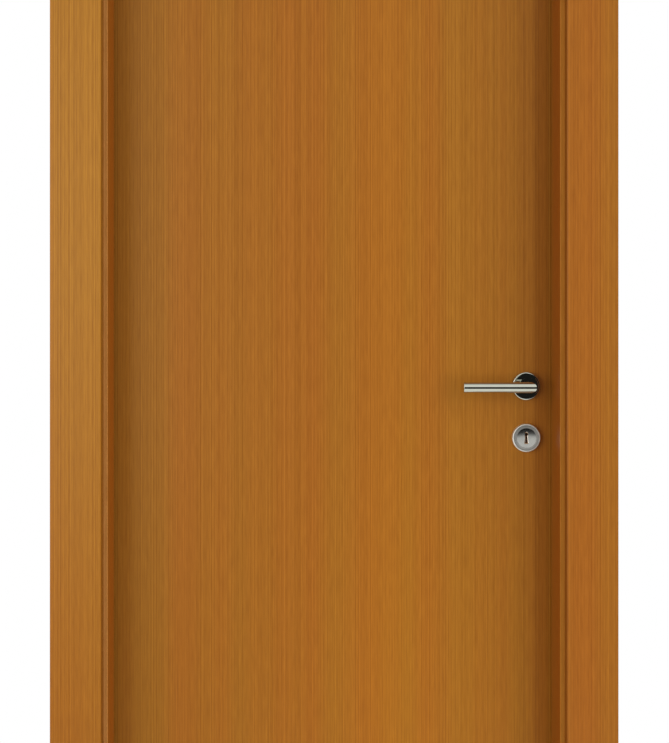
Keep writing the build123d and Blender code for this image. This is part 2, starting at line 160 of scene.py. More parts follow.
# Studio: brightness by height in the surroundings, places of the lamps, corners of round meshes
BAND_STOPS = ((-0.41, 1.0), (-0.36, 0.015), (0.22, 0.015), (0.3, 1.0), (0.9, 1.0), (0.97, 0.35))
WHITE = (1, 1, 1, 1)
LAMPS = {"left": (-1.9, -2.0), "right": (1.9, -2.0), "back": (0.7, 2.6)}
LAMP_WIDTH = 2.0
LAMP_LENGTH = 2.2
LAMP_HEIGHT = 1.25
AIM_HEIGHT = 1.1
FLOOR_CORNERS = 96
SCREW_CORNERS = 32


def paint(red, green, blue):
    """Linear colour of an 8-bit screen colour."""
    parts = (channel / 255 for channel in (red, green, blue))
    return tuple(p / 12.92 if p <= 0.04045 else ((p + 0.055) / 1.055) ** 2.4 for p in parts)


def colour(name, description, default):
    """Setting for a colour."""
    return FloatVectorProperty(
        name=name, description=description, default=default, subtype="COLOR", size=3, min=0, max=1
    )


def length(name, description, default):
    """Setting for a length in metres."""
    return FloatProperty(
        name=name, description=description, default=default, unit="LENGTH", min=0, precision=5
    )


def place(name, description, default):
    """Setting for a place along an axis, in metres."""
    return FloatProperty(name=name, description=description, default=default, unit="LENGTH")


def share(name, description, default):
    """Setting for a share between nothing and all."""
    return FloatProperty(
        name=name, description=description, default=default, subtype="FACTOR", min=0, max=1
    )


def number(name, description, default):
    """Setting for a plain number."""
    return FloatProperty(name=name, description=description, default=default)


class VeneerSettings(PropertyGroup):
    """Tones and figure of the wood veneer."""

    leaf_tone: colour("Leaf", "Middle tone of the leaf", paint(171, 107, 28))
    hinge_jamb_tone: colour("Hinge jamb", "Tone of the hinge jamb and the head", paint(168, 99, 28))
    # Painted shade: the strike jamb is a darker copy of the jamb veneer, for the lesser light on
    # its reveal
    strike_jamb_tone: colour("Strike jamb", "Middle tone of the strike jamb", paint(155, 92, 25))
    casing_tone: colour("Casings", "Middle tone of the casings", paint(169, 103, 26))
    # Painted sheen: the hinge side front casing is paler high up
    casing_sheen_tone: colour("Pale casing", "Upper tone of the hinge side casing", paint(182, 118, 33))
    # Painted light and sheen: the jambs' front lips are paler than the jambs, the hinge side's the
    # palest
    hinge_lip_tone: colour("Hinge side lip", "Tone of the hinge jamb's lip", paint(204, 141, 72))
    strike_lip_tone: colour("Strike side lip", "Tone of the strike jamb's lip", paint(197, 133, 48))
    # Painted shadow: the lip is darker beside a casing, where the casing shades it
    casing_shadow_tint: colour("Seam", "Share of the lip's tone left beside a casing", (0.82, 0.8, 0.8))
    # Painted shade on the inner edges of the casings
    board_edge_tint: colour("Board edge", "Share of tone left in inner edges", (0.72, 0.7, 0.68))
    # Painted light: the leaf is paler towards its hinge edge
    hinge_side_light_tone: colour("Hinge side light", "Tone of the leaf towards its hinges", paint(178, 116, 34))
    # Painted sheen fading: the hinge side front casing loses its sheen towards its foot
    casing_foot_tint: colour("Casing foot", "Share of tone left at its foot", (1.0, 0.93, 0.7))
    # Painted light: the leaf's middle is paler
    middle_light_tone: colour("Middle light", "Tone of the leaf's middle", paint(176, 113, 28))
    lock_side_tone: colour("Lock side", "Tone of the leaf beside its lock", paint(171, 112, 29))
    # Painted sheen fading: the leaf is less blue towards its foot
    foot_sheen_fade_tint: colour("Foot", "Share of the tone left towards the leaf's foot", (1.0, 1.0, 0.78))
    foot_tone: colour("Foot middle", "Tone towards the foot's lock side", paint(176, 110, 29))
    hinge_shade: colour("Hinge shade", "Share of tone left by the hinge jamb", (0.8, 0.79, 0.9))
    strike_shade: colour("Strike shade", "Share of tone left by the strike jamb", (0.86, 0.9, 0.82))
    edge_tone: colour("Edge timber", "Tone of the timber in the leaf's edges", paint(160, 104, 50))
    core_tone: colour("Core", "Tone of the board inside the leaf", paint(170, 140, 100))
    dark_tint: colour("Dark fibre", "Share of the tone left in a dark fibre", (0.8, 0.74, 0.6))
    light_tint: colour("Light fibre", "Share of the tone in a pale fibre, halved", (0.6, 0.63, 0.7))
    red_drift: colour("Red band", "Share of the tone left in a red band", (1.0, 0.9, 0.88))
    gold_drift: colour("Gold band", "Share of the tone left in a gold band", (0.965, 1.0, 0.94))
    fibre_width: length("Fibre width", "Width of the finest streaks", 0.0024)
    fibre_length: length("Fibre length", "Length of the finest streaks", 12.0)
    fleck_width: length("Fleck width", "Width of the short flecks", 0.0025)
    fleck_length: length("Fleck length", "Length of the short flecks", 0.045)
    streak_width: length("Streak width", "Width of the wider streaks", 0.014)
    streak_length: length("Streak length", "Length of the wider streaks", 8.0)
    band_width: length("Band width", "Width of the broad bands of tone", 0.08)
    band_length: length("Band length", "Length of the broad bands of tone", 6.0)
    pore_width: length("Pore width", "Width of a pore", 0.0004)
    pore_length: length("Pore length", "Length of a pore", 0.009)
    gloss: share("Roughness", "Roughness of the lacquer", 0.4)


class MetalSettings(PropertyGroup):
    """Tints and brushing of the metal pieces, and the colour of the seals."""

    chrome_tint: colour("Chrome", "Tint of the polished levers and roses", (0.57, 0.58, 0.49))
    satin_tint: colour("Satin", "Tint of the key roses", (0.43, 0.43, 0.395))
    satin_lean: number("Satin lean", "Upward slope of its lapped lines", 0.22)
    satin_dish: length("Satin dish", "Radius of a key rose's dished middle", 0.0175)
    dish_depth: length("Dish depth", "Depth of the dish's middle below a key rose's face", 0.0015)
    dish_rise: length("Dish rise", "Rise of the dish from its middle to its rim", 0.0011)
    keyhole_edge: length("Keyhole edge", "Depth of the bright edge round a keyhole", 0.0002)
    # Painted shade: the walls inside a keyhole take a dull wood colour in place of chrome
    keyhole_shade_tint: colour("Keyhole shade", "Colour inside a keyhole", paint(205, 168, 125))
    rim_lean: number("Rim lean", "Outward slope of a handle rose's rim", 0.18)
    rim_width: length("Rim width", "Width of a handle rose's rim", 0.0044)
    # Painted highlight: a paler metal tint on a key rose's outer rim
    rim_highlight_tint: colour("Rim highlight", "Tint of a key rose's worn rim", (0.82, 0.81, 0.74))
    rim_highlight_width: length("Rim highlight width", "Width of a key rose's worn rim", 0.0024)
    hinge_tint: colour("Hinges", "Tint of the hinges and their pins", (0.5, 0.49, 0.47))
    lock_tint: colour("Lock", "Tint of the lock, its bolts and its strike", (0.47, 0.46, 0.43))
    seal_tint: colour("Seal", "Colour of the door seal", paint(74, 52, 38))
    brush_width: length("Brush width", "Width of a brushed line", 0.0003)
    brush_length: length("Brush length", "Length of a brushed line", 0.03)


class ScrewSettings(PropertyGroup):
    """Sizes of the countersunk screws and where they sit on their plates."""

    head_radius: length("Head radius", "Radius of a head", 0.0038)
    foot_radius: length("Foot radius", "Radius under a head", 0.0018)
    head_depth: length("Head depth", "Depth of a head", 0.002)
    cross_length: length("Cross length", "Length of the cross in a head", 0.0044)
    cross_width: length("Cross width", "Width of the cross in a head", 0.0009)
    cross_depth: length("Cross depth", "Depth of the cross in a head", 0.0012)
    sunk: length("Sunk", "How far a head sits below its plate's face", 0.0001)
    hinge_gap: length("Hinge gap", "Gap between the leaf and the hinge jamb", 0.005)
    outer_rise: length("Outer rise", "Outer hinge screws, from the hinge's middle", 0.038)
    inner_rise: length("Inner rise", "Inner hinge screws, from the hinge's middle", 0.014)
    outer_inset: length("Outer inset", "Outer hinge screws, from the leaf's back", 0.0095)
    inner_inset: length("Inner inset", "Inner hinge screws, from the leaf's back", 0.0205)
    plate_inset: length("Plate inset", "Lock screws, from the ends of their plates", 0.011)
    seed: IntProperty(name="Seed", description="Turns of the screws", default=7)


class StageSettings(PropertyGroup):
    """The floor, the light and the camera."""

    floor_tone: colour("Floor", "Colour of the floor", (0.86, 0.86, 0.86))
    floor_radius: length("Floor radius", "Radius of the floor", 1.1)
    camera_x: place("Camera X", "Camera, across", 0.3705)
    camera_y: place("Camera Y", "Camera, in front", -2.16)
    camera_z: place("Camera Z", "Camera, above floor", 1.196)
    focal_pixels: number("Focal length", "In pixels", 1222.4)
    eye_x: number("Eye X", "Pixel straight ahead, from the left", 300)
    eye_y: number("Eye Y", "Pixel straight ahead, from the top", 304)
    ambient: number("Ambient", "Strength of the light from all round", 0.36)
    left_power: number("Left lamp", "Power of the left lamp", 33)
    right_power: number("Right lamp", "Power of the right lamp", 37)
    back_power: number("Back lamp", "Power of the lamp behind", 50)


class Wiring:
    """A node tree: adds its nodes, sets them and joins them up."""

    def __init__(self, tree):
        self.tree = tree

    def feed(self, socket, value):
        """Link an output to a socket, or set the socket's own value."""
        if isinstance(value, bpy.types.NodeSocket):
            self.tree.links.new(value, socket)
        else:
            socket.default_value = value

    def add(self, kind, values, output=0, **settings):
        """New node with these settings and inputs. Gives back one of its outputs."""
        made = self.tree.nodes.new(kind)
        for setting, value in settings.items():
            setattr(made, setting, value)
        for socket, value in values.items():
            self.feed(made.inputs[socket], value)
        return made.outputs[output]

    def sums(self, operation, first, second):
        """A Math node of two values."""
        return self.add("ShaderNodeMath", {0: first, 1: second}, operation=operation)

    def remap(self, value, low, high, to_low, to_high):
        """Value carried from one range to another and kept inside it."""
        return self.add("ShaderNodeMapRange", {0: value, 1: low, 2: high, 3: to_low, 4: to_high})

    def ramp(self, value, stops):
        """Colour picked along stops of (place, colour)."""
        node = self.tree.nodes.new("ShaderNodeValToRGB")
        elements = node.color_ramp.elements
        while len(elements) < len(stops):
            elements.new(0.5)
        for element, (position, tone) in zip(elements, stops):
            element.position = position
            element.color = (*tone, 1)
        self.feed(node.inputs[0], value)
        return node.outputs[0]


class Recipe(Wiring):
    """One material and its nodes."""

    def __init__(self, name):
        self.material = bpy.data.materials.new(name)
        self.material.use_nodes = True
        super().__init__(self.material.node_tree)
        self.surface = self.tree.nodes["Principled BSDF"]

    def finish(self, **values):
        """Set the surface's inputs, with spaces in place of underscores."""
        for socket, value in values.items():
            self.feed(self.surface.inputs[socket.replace("_", " ")], value)
        return self.material

    def place(self, turn=(0, 0, 0), shift=(0, 0, 0)):
        """The piece's own coordinates in metres, turned and shifted."""
        coordinates = self.add("ShaderNodeTexCoord", {}, output="Object")
        values = {"Vector": coordinates, "Rotation": turn, "Location": shift}
        return self.add("ShaderNodeMapping", values)

    def along(self, axis):
        """The piece's own coordinate along an axis, in metres."""
        coordinates = self.add("ShaderNodeTexCoord", {}, output="Object")
        return self.add("ShaderNodeSeparateXYZ", {0: coordinates}, output=axis)

    def noise(self, vector, size, detail=2.0, rough=0.5):
        """Noise whose spots have this size in metres along each axis."""
        scale = [1 / side for side in size]
        stretched = self.add("ShaderNodeVectorMath", {0: vector, 1: scale}, operation="MULTIPLY")
        values = {"Vector": stretched, "Scale": 1.0, "Detail": detail, "Roughness": rough}
        return self.add("ShaderNodeTexNoise", values)

    def spread(self, noise, least, greatest):
        """Noise carried from its usual range to another one."""
        return self.remap(noise, NOISE_LOW, NOISE_HIGH, least, greatest)

    def mottle(self, noise, first, second):
        """Colour between two tones, by a noise over its usual range."""
        return self.ramp(noise, [(NOISE_LOW, first), (NOISE_HIGH, second)])

    def weigh(self, parts):
        """Values about a half, each weighed, added up about a half."""
        total = 0.5
        for value, weight in parts:
            values = {0: self.sums("SUBTRACT", value, 0.5), 1: weight, 2: total}
            total = self.add("ShaderNodeMath", values, operation="MULTIPLY_ADD")
        return total

    def mix(self, factor, first, second, blend="MIX"):
        """Two colours mixed."""
        values = {0: factor, 6: first, 7: second}
        return self.add("ShaderNodeMix", values, output=2, data_type="RGBA", blend_type=blend)

    def bump(self, height, strength=1.0, distance=1.0):
        """Normal raised by a height."""
        values = {"Height": height, "Strength": strength, "Distance": distance}
        return self.add("ShaderNodeBump", values)


def dress(nodes, material):
    """Give a material to CAD nodes."""
    for name in nodes:
        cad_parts[name].material_slots[0].material = material


def scaled(tone, gain):
    """A tone times a number."""
    return tuple(gain * part for part in tone)


def tinted(tone, tint, gain=1.0):
    """A tone times a tint, as a colour with its alpha."""
    return (*(gain * part * shade for part, shade in zip(tone, tint)), 1)


def ratio(other, tone):
    """Tint that turns a tone into another."""
    return [part / base for part, base in zip(other, tone)]


def reach(axis, base, spans):
    """Reaches (axis, start, end) of an accent, from spans that are measured from a base."""
    return [(axis, base + start, base + end) for start, end in spans]


def veneer(name, tone, grain, shift, accents=(), shine=LACQUER_SHINE):
    """Straight-grained veneer under satin lacquer: fibres, flecks, streaks, bands and pores.

    The shift picks the part of the sheet that a piece is cut from. An accent (reaches, tint) tints
    the tone. It grows from start to end of each reach (axis, start, end).
    """
    wood = bpy.context.scene.door_veneer
    recipe = Recipe(name)
    where = recipe.place(grain, shift)
    across = recipe.add(
        "ShaderNodeVectorMath", {0: where, 1: SHEET_WAY}, output="Value", operation="DOT_PRODUCT"
    )
    upward = recipe.add("ShaderNodeSeparateXYZ", {0: where}, output="Z")
    sheet = recipe.add("ShaderNodeCombineXYZ", {0: across, 2: upward})
    fibre = recipe.noise(sheet, (wood.fibre_width, 1, wood.fibre_length), 1)
    fleck = recipe.noise(sheet, (wood.fleck_width, 1, wood.fleck_length), 1)
    streak = recipe.noise(sheet, (wood.streak_width, 1, wood.streak_length), 1)
    band = recipe.noise(sheet, (wood.band_width, 1, wood.band_length), 1)
    pore = recipe.noise(where, (wood.pore_width, wood.pore_width, wood.pore_length), 1)
    figure = recipe.weigh([(fibre, FIBRE_WEIGHT), (fleck, FLECK_WEIGHT), (streak, STREAK_WEIGHT)])
    toned = recipe.mix(figure, tinted(tone, wood.dark_tint), tinted(tone, wood.light_tint, 2))
    for reaches, tint in accents:
        amount = 1.0
        for axis, start, end in reaches:
            grown = recipe.remap(recipe.along(axis), start, end, 0, 1)
            amount = recipe.sums("MULTIPLY", amount, grown)
        toned = recipe.mix(amount, toned, (*tint, 1), "MULTIPLY")
    gold = recipe.remap(band, BAND_LOW, BAND_HIGH, 0, 1)
    drift = recipe.mix(gold, (*wood.red_drift, 1), (*wood.gold_drift, 1))
    banded = recipe.mix(1.0, toned, drift, "MULTIPLY")
    pores = recipe.remap(pore, PORE_DEEP, PORE_END, 1, 0)
    dark = recipe.sums("MULTIPLY", pores, PORE_SHARE)
    pored = recipe.mix(dark, banded, (*PORE_TINT, 1), "MULTIPLY")
    height = recipe.sums("SUBTRACT", figure, recipe.sums("MULTIPLY", pores, PORE_DEPTH))
    return recipe.finish(
        Base_Color=pored,
        Roughness=recipe.spread(fibre, wood.gloss - GLOSS_SPREAD, wood.gloss + GLOSS_SPREAD),
        Normal=recipe.bump(height, *VENEER_RELIEF),
        Specular_IOR_Level=shine,
    )


class DOOR_OT_leaf(Operator):
    """Veneer the two faces of the leaf and finish the timber in its edges"""

    bl_idname = "door.leaf"
    bl_label = "Leaf"

    def execute(self, context):
        """Faces, stiles, rails and core."""
        wood = context.scene.door_veneer
        low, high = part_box("leaf_front_skin")
        foot = reach("Z", low.z, FOOT_SPANS)
        foot_middle = foot + reach("X", low.x, FOOT_MIDDLE_SPANS)
        # Painted light towards the hinges and in the middle, painted sheen fading towards the foot,
        # painted shade beside both jambs
        shades = [
            (reach("X", low.x, HINGE_SIDE_LIGHT_SPANS), ratio(wood.hinge_side_light_tone, wood.leaf_tone)),
            (reach("X", low.x, MIDDLE_LIGHT_SPANS), ratio(wood.middle_light_tone, wood.leaf_tone)),
            (reach("X", high.x, LOCK_SIDE_SPANS), ratio(wood.lock_side_tone, wood.leaf_tone)),
            (foot, wood.foot_sheen_fade_tint),
            (foot_middle, ratio(wood.foot_tone, wood.leaf_tone)),
            (reach("X", low.x, HINGE_SHADE_SPANS), wood.hinge_shade),
            (reach("X", high.x, STRIKE_SHADE_SPANS), wood.strike_shade),
        ]
        faces = veneer("leaf_veneer", wood.leaf_tone, GRAIN_UP, (0, 0, 0), shades)
        stiles = veneer("edge_timber", wood.edge_tone, GRAIN_UP, (3, 1, 0))
        rails = veneer("rail_timber", wood.edge_tone, GRAIN_ACROSS, (5, 2, 0))
        dress(["leaf_front_skin", "leaf_back_skin"], faces)
        dress(["leaf_hinge_stile", "leaf_lock_stile"], stiles)
        dress(["leaf_top_rail", "leaf_bottom_rail"], rails)
        dress(["leaf_core"], veneer("core_board", wood.core_tone, GRAIN_UP, (7, 3, 0)))
        return {"FINISHED"}


def casing_edge(face, side):
    """Axis and place of a casing's inner edge, and which way the opening lies from it."""
    low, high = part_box(f"{face}_casing_{side}")
    edges = {
        "hinge_side": ("X", high.x, 1),
        "strike_side": ("X", low.x, -1),
        "head": ("Z", low.z, -1),
    }
    return edges[side]


class DOOR_OT_jambs(Operator):
    """Veneer the jambs, with the grain along each"""

    bl_idname = "door.jambs"
    bl_label = "Jambs"

    def execute(self, context):
        """Two sides and the head, each with a lip in front painted paler as light and sheen, and
        painted shadow on that lip beside the casing.
        """
        wood = context.scene.door_veneer
        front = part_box("hinge_jamb")[0].y
        lip = ("Y", front + LIP_DEPTH, front + LIP_DEPTH / 2)
        names = ("hinge_jamb", "strike_jamb", "head_jamb")
        # The strike jamb's darker tone is painted shade
        tones = (wood.hinge_jamb_tone, wood.strike_jamb_tone, wood.hinge_jamb_tone)
        lip_sheen_tones = (wood.hinge_lip_tone, wood.strike_lip_tone, wood.strike_lip_tone)
        grains = (GRAIN_UP, GRAIN_UP, GRAIN_ACROSS)
        shifts = ((11, 0, 0), (12, 1, 0), (13, 2, 0))
        pieces = zip(FRAME_SIDES, names, tones, lip_sheen_tones, grains, shifts)
        for side, name, tone, lip_sheen_tone, grain, shift in pieces:
            axis, edge, inward = casing_edge("front", side)
            # Painted light and sheen on the lip, and painted shadow on the lip beside the casing
            casing_shadow = (axis, edge + inward * CASING_SHADOW_WIDTH, edge)
            accents = [([lip], ratio(lip_sheen_tone, tone)), ([lip, casing_shadow], wood.casing_shadow_tint)]
            dress([name], veneer(f"{name}_veneer", tone, grain, shift, accents, JAMB_SHINE))
        return {"FINISHED"}


class DOOR_OT_casings(Operator):
    """Veneer the casings, with the grain along each board"""

    bl_idname = "door.casings"
    bl_label = "Casings"

    def execute(self, context):
        """Three boards on each side of the wall, each with painted shade on its inner edge."""
        wood = context.scene.door_veneer
        for row, face in zip(CASING_ROWS, FACES):
            for column, side in zip(CASING_COLUMNS, FRAME_SIDES):
                grain = GRAIN_ACROSS if side == "head" else GRAIN_UP
                name = f"{face}_casing_{side}"
                axis, edge, inward = casing_edge(face, side)
                # Painted shade on the board's inner edge
                shaded_edge = (axis, edge - inward * EDGE_DEPTH, edge - inward * EDGE_DEPTH / 2)
                accents = [([shaded_edge], wood.board_edge_tint)]
                # Painted sheen on the hinge side front casing, paler high up and fading towards its
                # foot
                if name == "front_casing_hinge_side":
                    pale = ratio(wood.casing_sheen_tone, wood.casing_tone)
                    accents.append(([("Z", SHEEN_FROM, SHEEN_TO)], pale))
                    accents.append(([("Z", SHEEN_TO, SHEEN_FROM)], wood.casing_foot_tint))
                shift = (column, row, 0)
                board = veneer(f"{name}_veneer", wood.casing_tone, grain, shift, accents)
                dress([name], board)
        return {"FINISHED"}


class DOOR_OT_seals(Operator):
    """Finish the soft seals in the stop"""

    bl_idname = "door.seals"
    bl_label = "Seals"

    def execute(self, context):
        """Matt rubber with a faint mottle."""
        tint = context.scene.door_metal.seal_tint
        recipe = Recipe("seal_rubber")
        mottle = recipe.noise(recipe.place(), SEAL_MOTTLE)
        stops = [(NOISE_LOW, tint), (SEAL_PALE_FROM, scaled(tint, SEAL_PALER))]
        rubber = recipe.finish(
            Base_Color=recipe.ramp(mottle, stops),
            Roughness=recipe.spread(mottle, *SEAL_ROUGHNESS),
            Normal=recipe.bump(mottle, *SEAL_RELIEF),
        )
        dress(["hinge_side_seal", "strike_side_seal", "head_seal"], rubber)
        return {"FINISHED"}


def brushed(name, tint, roughness):
    """Brushed metal with upright lines and a faint mottle."""
    metal = bpy.context.scene.door_metal
    recipe = Recipe(name)
    where = recipe.place()
    line = (metal.brush_width, metal.brush_width, metal.brush_length)
    lines = recipe.noise(where, line, 2, BRUSH_CRISPNESS)
    mottle = recipe.noise(where, STEEL_MOTTLE)
    return recipe.finish(
        Base_Color=recipe.mottle(mottle, scaled(tint, STEEL_DULLER), tint),
        Metallic=1.0,
        Roughness=recipe.spread(lines, *roughness),
        Normal=recipe.bump(lines, *STEEL_RELIEF),
    )


def radius(recipe, node):
    """Distance from the middle of a round node, across its face."""
    low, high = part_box(node)
    middle = (low + high) / 2
    where = recipe.place(shift=(-middle.x, 0, -middle.z))
    flat = recipe.add("ShaderNodeVectorMath", {0: where, 1: (1, 0, 1)}, operation="MULTIPLY")
    return recipe.add("ShaderNodeVectorMath", {0: flat}, output="Value", operation="LENGTH")


def polished(name):
    """Bright chrome with faint hand marks, before its normals are set."""
    tint = bpy.context.scene.door_metal.chrome_tint
    recipe = Recipe(name)
    marks = recipe.noise(recipe.place(), CHROME_MARKS, 3)
    stops = [(CHROME_DULL_FROM, tint), (NOISE_HIGH, scaled(tint, CHROME_DULLER))]
    recipe.finish(
        Base_Color=recipe.ramp(marks, stops),
        Metallic=1.0,
        Roughness=recipe.remap(marks, CHROME_DULL_FROM, NOISE_HIGH, *CHROME_ROUGHNESS),
    )
    return recipe


class DOOR_OT_levers(Operator):
    """Polish the levers and brush their spindle"""

    bl_idname = "door.levers"
    bl_label = "Levers"

    def execute(self, context):
        """Bright chrome with hairlines along the bar."""
        recipe = polished("lever_chrome")
        hairlines = recipe.noise(recipe.place(), HAIRLINES, 2)
        chrome = recipe.finish(Normal=recipe.bump(hairlines, *HAIRLINE_RELIEF))
        dress([f"{face}_lever" for face in FACES], chrome)
        steel = brushed("spindle_steel", context.scene.door_metal.lock_tint, LOCK_ROUGHNESS)
        dress(["spindle"], steel)
        return {"FINISHED"}


class DOOR_OT_handle_roses(Operator):
    """Polish the handle roses"""

    bl_idname = "door.handle_roses"
    bl_label = "Handle roses"

    def execute(self, context):
        """Bright chrome with a rim that is lapped to fall outwards."""
        metal = context.scene.door_metal
        low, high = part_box("front_handle_rose")
        rim = (high.x - low.x) / 2 - metal.rim_width
        recipe = polished("rose_chrome")
        away = radius(recipe, "front_handle_rose")
        beyond = recipe.sums("MAXIMUM", recipe.sums("SUBTRACT", away, rim), 0.0)
        fall = recipe.sums("MULTIPLY", beyond, -metal.rim_lean)
        chrome = recipe.finish(Normal=recipe.bump(fall))
        dress([f"{face}_handle_rose" for face in FACES], chrome)
        return {"FINISHED"}


class DOOR_OT_key_roses(Operator):
    """Finish the key roses with a turned satin"""

    bl_idname = "door.key_roses"
    bl_label = "Key roses"

    def execute(self, context):
        """Finely ringed dish, duller ring round it, a painted highlight on the rim and painted
        shade in the keyhole.
        """
        metal = context.scene.door_metal
        dish = metal.satin_dish
        low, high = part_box("front_key_rose")
        middle_y = (high.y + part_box("back_key_rose")[0].y) / 2
        brink = middle_y - low.y - metal.dish_depth - metal.keyhole_edge
        rim = (high.x - low.x) / 2 - metal.rim_highlight_width
        recipe = Recipe("satin_chrome")
        away = radius(recipe, "front_key_rose")
        across = recipe.add("ShaderNodeCombineXYZ", {0: away})
        rings = recipe.noise(across, (metal.brush_width, 1, 1), 2, BRUSH_CRISPNESS)
        mottle = recipe.noise(recipe.place(), SATIN_MOTTLE)
        satin_tone = recipe.mottle(mottle, scaled(metal.satin_tint, SATIN_DULLER), metal.satin_tint)
        # Painted highlight on the outer rim
        highlit = recipe.remap(away, rim, rim + RIM_EDGE, 0, 1)
        tone = recipe.mix(highlit, satin_tone, (*metal.rim_highlight_tint, 1))
        offset = recipe.sums("SUBTRACT", recipe.along("Y"), middle_y)
        depth = recipe.sums("ABSOLUTE", offset, 0.0)
        squared = recipe.sums("POWER", away, 2.0)
        rise = recipe.sums("MULTIPLY", squared, metal.dish_rise / dish**2)
        level = recipe.sums("SUBTRACT", depth, rise)
        # Painted shade inside the keyhole, below the dish's brink and within the dish
        below = recipe.remap(level, brink, brink - KEYHOLE_SHADE_EDGE, 0, 1)
        within = recipe.remap(away, dish, dish - DISH_EDGE, 0, 1)
        hole_shaded = recipe.sums("MULTIPLY", below, within)
        blasted = recipe.remap(away, dish - RIM_EDGE, dish, 0, RING_ROUGHER)
        lean = recipe.sums("MULTIPLY", recipe.along("Z"), -metal.satin_lean)
        ridges = recipe.sums("MULTIPLY", rings, RING_HEIGHT)
        satin = recipe.finish(
            Base_Color=recipe.mix(hole_shaded, tone, (*metal.keyhole_shade_tint, 1)),
            Metallic=recipe.sums("SUBTRACT", 1.0, hole_shaded),
            Roughness=recipe.sums("ADD", blasted, recipe.spread(rings, *SATIN_ROUGHNESS)),
            Normal=recipe.bump(recipe.sums("ADD", lean, ridges)),
        )
        dress([f"{face}_key_rose" for face in FACES], satin)
        return {"FINISHED"}


class DOOR_OT_hinges(Operator):
    """Finish the hinges and their pins"""

    bl_idname = "door.hinges"
    bl_label = "Hinges"

    def execute(self, context):
        """Brushed steel."""
        steel = brushed("hinge_steel", context.scene.door_metal.hinge_tint, HINGE_ROUGHNESS)
        pieces = ("frame_hinge", "leaf_hinge", "hinge_pin")
        dress([f"{piece}_{hinge}" for piece in pieces for hinge in HINGES], steel)
        return {"FINISHED"}


class DOOR_OT_lock(Operator):
    """Finish the lock, its bolts and its strike plate"""

    bl_idname = "door.lock"
    bl_label = "Lock"

    def execute(self, context):
        """Duller brushed steel."""
        steel = brushed("lock_steel", context.scene.door_metal.lock_tint, LOCK_ROUGHNESS)
        dress(["lock_case", "lock_faceplate", "latch_bolt", "dead_bolt", "strike_plate"], steel)
        return {"FINISHED"}


def screw_tree():
    """Geometry Nodes that set a countersunk screw on every point, along the point's facing."""
    tree = bpy.data.node_groups.new("screws", "GeometryNodeTree")
    heads = ("Head Radius", "Foot Radius", "Head Depth")
    crosses = ("Cross Length", "Cross Width", "Cross Depth")
    kinds = {"Geometry": "NodeSocketGeometry"}
    kinds |= {name: "NodeSocketFloat" for name in (*heads, *crosses, "Sunk")}
    kinds |= {"Seed": "NodeSocketInt", "Material": "NodeSocketMaterial"}
    for name, kind in kinds.items():
        tree.interface.new_socket(name, in_out="INPUT", socket_type=kind)
    tree.interface.new_socket("Geometry", in_out="OUTPUT", socket_type="NodeSocketGeometry")
    wiring = Wiring(tree)
    given = tree.nodes.new("NodeGroupInput").outputs
    head = wiring.add("GeometryNodeMeshCone", {
        "Vertices": SCREW_CORNERS,
        "Radius Top": given["Head Radius"],
        "Radius Bottom": given["Foot Radius"],
        "Depth": given["Head Depth"],
    })
    drop = wiring.sums("ADD", given["Head Depth"], given["Sunk"])
    down = wiring.add("ShaderNodeCombineXYZ", {2: wiring.sums("MULTIPLY", drop, -1.0)})
    sunk = wiring.add("GeometryNodeTransform", {"Geometry": head, "Translation": down})
    tall = wiring.sums("MULTIPLY", given["Cross Depth"], 2.0)
    cut = tree.nodes.new("GeometryNodeMeshBoolean")
    cut.operation = "DIFFERENCE"
    wiring.feed(cut.inputs["Mesh 1"], sunk)
    for across, along in (("Cross Length", "Cross Width"), ("Cross Width", "Cross Length")):
        size = wiring.add("ShaderNodeCombineXYZ", {0: given[across], 1: given[along], 2: tall})
        wiring.feed(cut.inputs["Mesh 2"], wiring.add("GeometryNodeMeshCube", {"Size": size}))
    facing = wiring.add(
        "GeometryNodeInputNamedAttribute", {"Name": "facing"}, data_type="FLOAT_VECTOR"
    )
    upright = wiring.add("FunctionNodeAlignRotationToVector", {"Vector": facing}, axis="Z")
    draw = {2: 0.0, 3: math.pi, "Seed": given["Seed"]}
    angle = wiring.add("FunctionNodeRandomValue", draw, output=1)
    turn = wiring.add("FunctionNodeAxisAngleToRotation", {"Axis": (0, 0, 1), "Angle": angle})
    turned = wiring.add(
        "FunctionNodeRotateRotation",
        {"Rotation": upright, "Rotate By": turn},
        rotation_space="LOCAL",
    )
    screws = wiring.add("GeometryNodeInstanceOnPoints", {
        "Points": given["Geometry"],
        "Instance": cut.outputs["Mesh"],
        "Rotation": turned,
    })
    real = wiring.add("GeometryNodeRealizeInstances", {"Geometry": screws})
    finished = wiring.add(
        "GeometryNodeSetMaterial", {"Geometry": real, "Material": given["Material"]}
    )
    wiring.feed(tree.nodes.new("NodeGroupOutput").inputs["Geometry"], finished)
    return tree


def hinge_screws(sizes, face_x, facing):
    """Points and facings of the screws in the hinge plates on one side of the gap."""
    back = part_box("leaf_back_skin")[1].y
    rows = ((sizes.outer_rise, sizes.outer_inset), (sizes.inner_rise, sizes.inner_inset))
    points = []
    for hinge in HINGES:
        low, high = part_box(f"hinge_pin_{hinge}")
        middle = (low.z + high.z) / 2
        for rise, inset in rows:
            points += [(face_x, back - inset, middle + way * rise) for way in (-1, 1)]
    return [(point, facing) for point in points]


def plate_screws(sizes, node, end, facing):
    """Points and facings of a lock plate's two screws. The end of its box is its face."""
    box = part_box(node)
    middle_y = (box[0].y + box[1].y) / 2
    heights = (box[0].z + sizes.plate_inset, box[1].z - sizes.plate_inset)
    return [((box[end].x, middle_y, height), facing) for height in heights]


